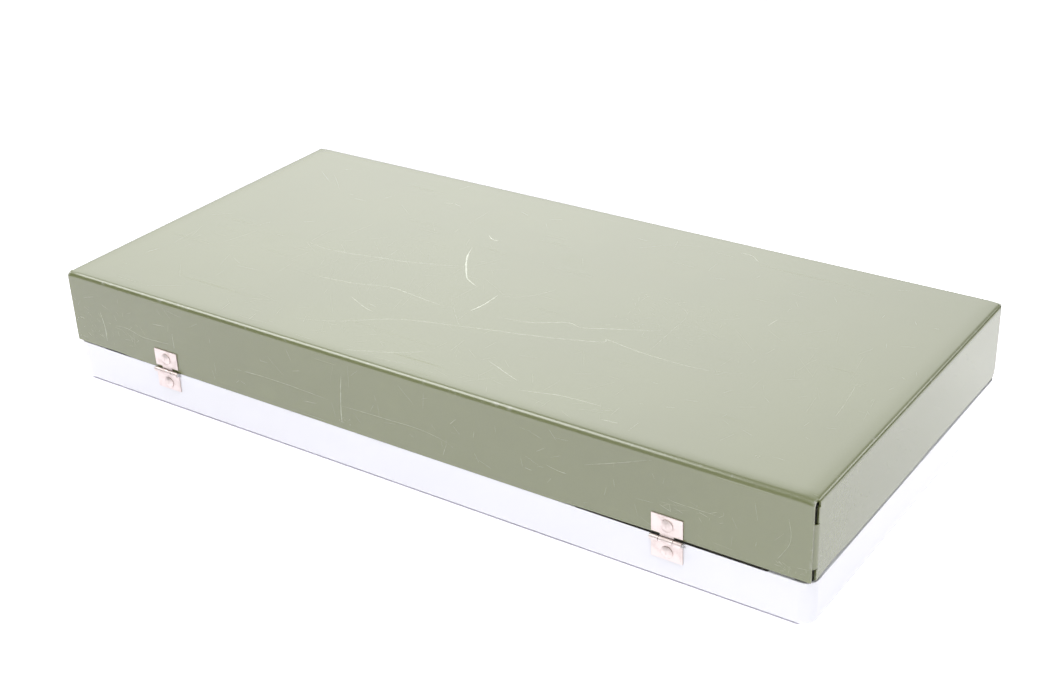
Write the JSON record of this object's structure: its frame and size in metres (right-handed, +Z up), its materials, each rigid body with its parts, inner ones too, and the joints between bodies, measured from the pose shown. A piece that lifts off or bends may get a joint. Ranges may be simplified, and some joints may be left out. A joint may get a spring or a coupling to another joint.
{
  "type": "sewing box",
  "caption": "Flat sewing box: a hinged painted sheet-metal lid on a low moulded base, with clasps in front and sliding trays with compartments inside.",
  "frame": {"origin": "centre of the underside, on the table", "axes": "+X along the box, +Y towards the hinge side, +Z up"},
  "size_m": [0.4, 0.1966, 0.0578],
  "materials": {
    "lid_paint": "satin olive enamel with fine scratches",
    "base_plastic": "glossy white moulding",
    "tray_plastic": "fine matt ivory moulding",
    "plated_steel": "nickel plate, lightly worn",
    "plated_rivet": "nickel plate, lightly worn",
    "pin_steel": "drawn wire",
    "zinc_steel": "zinc plate"
  },
  "bodies": {
    "base": {"base_shell": "base_plastic", "base_washers": "zinc_steel", "hinge_base_rivets": "plated_rivet", "left_hinge_lower_leaf": "plated_steel", "right_hinge_lower_leaf": "plated_steel", "left_hinge_pin": "pin_steel", "right_hinge_pin": "pin_steel", "left_clasp_stud": "plated_rivet", "right_clasp_stud": "plated_rivet"},
    "lid": {"lid_shell": "lid_paint", "hinge_lid_rivets": "plated_rivet", "clasp_lid_rivets": "plated_rivet", "left_hinge_upper_leaf": "plated_steel", "right_hinge_upper_leaf": "plated_steel", "left_clasp_leaf": "plated_steel", "right_clasp_leaf": "plated_steel", "left_clasp_pin": "pin_steel", "right_clasp_pin": "pin_steel"},
    "left_clasp": {"left_clasp_flap": "plated_steel"},
    "right_clasp": {"right_clasp_flap": "plated_steel"},
    "left_tray": {"left_tray": "tray_plastic"},
    "right_tray": {"right_tray": "tray_plastic"}
  },
  "joints": [
    {"name": "lid_hinge", "type": "hinge", "parent": "base", "child": "lid", "pos_m": [0, 0.09715, 0.0196], "axis": [-1, 0, 0], "range_deg": [0, 121]},
    {"name": "left_clasp_hinge", "type": "hinge", "parent": "lid", "child": "left_clasp", "pos_m": [-0.1372, -0.09715, 0.0196], "axis": [-1, 0, 0], "range_deg": [0, 150]},
    {"name": "right_clasp_hinge", "type": "hinge", "parent": "lid", "child": "right_clasp", "pos_m": [0.1372, -0.09715, 0.0196], "axis": [-1, 0, 0], "range_deg": [0, 150]},
    {"name": "left_tray_slide", "type": "slide", "parent": "base", "child": "left_tray", "axis": [0, -1, 0], "range_m": [0, 0.0902]},
    {"name": "right_tray_slide", "type": "slide", "parent": "base", "child": "right_tray", "axis": [0, -1, 0], "range_m": [0, 0.0902]}
  ]
}
